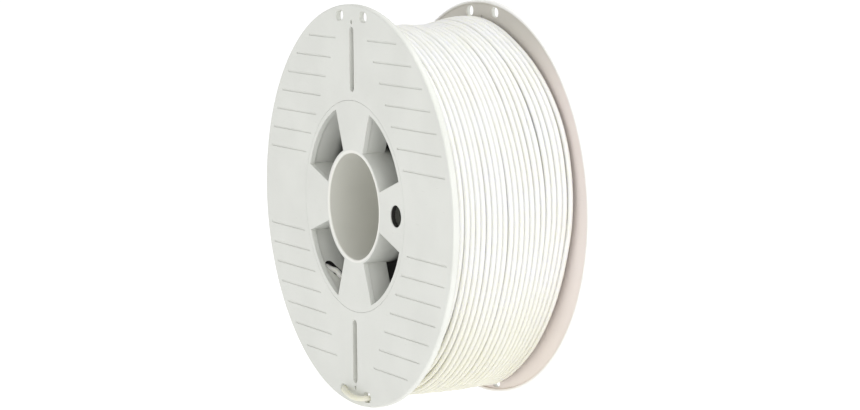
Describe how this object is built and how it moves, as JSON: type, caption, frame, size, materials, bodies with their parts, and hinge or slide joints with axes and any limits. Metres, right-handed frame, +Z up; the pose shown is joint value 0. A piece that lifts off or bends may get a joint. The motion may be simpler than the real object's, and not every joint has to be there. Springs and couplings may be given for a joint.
{
  "type": "filament spool",
  "caption": "Spool of thick printer filament: two ruled disc flanges clamped to a drum by hubs with windows and a wide bore, wound full, its loose end held in rim holes.",
  "frame": {"origin": "centre of the hub's bore, half way between the two outer faces", "axes": "+Y along the bore from the front flange to the rear one, +Z up with the spool standing on its rims, +X to the right seen from the front"},
  "size_m": [0.2, 0.0813, 0.2],
  "materials": {
    "flange_plastic": "light grey moulded polystyrene, fine matte",
    "hub_plastic": "light grey moulded polystyrene, fine matte",
    "drum_plastic": "light grey moulded polystyrene, fine matte",
    "filament": "white extruded strand, satin"
  },
  "bodies": {
    "root": {"front_flange": "flange_plastic", "rear_flange": "flange_plastic", "winding_drum": "drum_plastic", "front_hub": "hub_plastic", "rear_hub": "hub_plastic", "filament_winding": "filament", "filament_tail": "filament", "filament_start": "filament"}
  },
  "joints": []
}
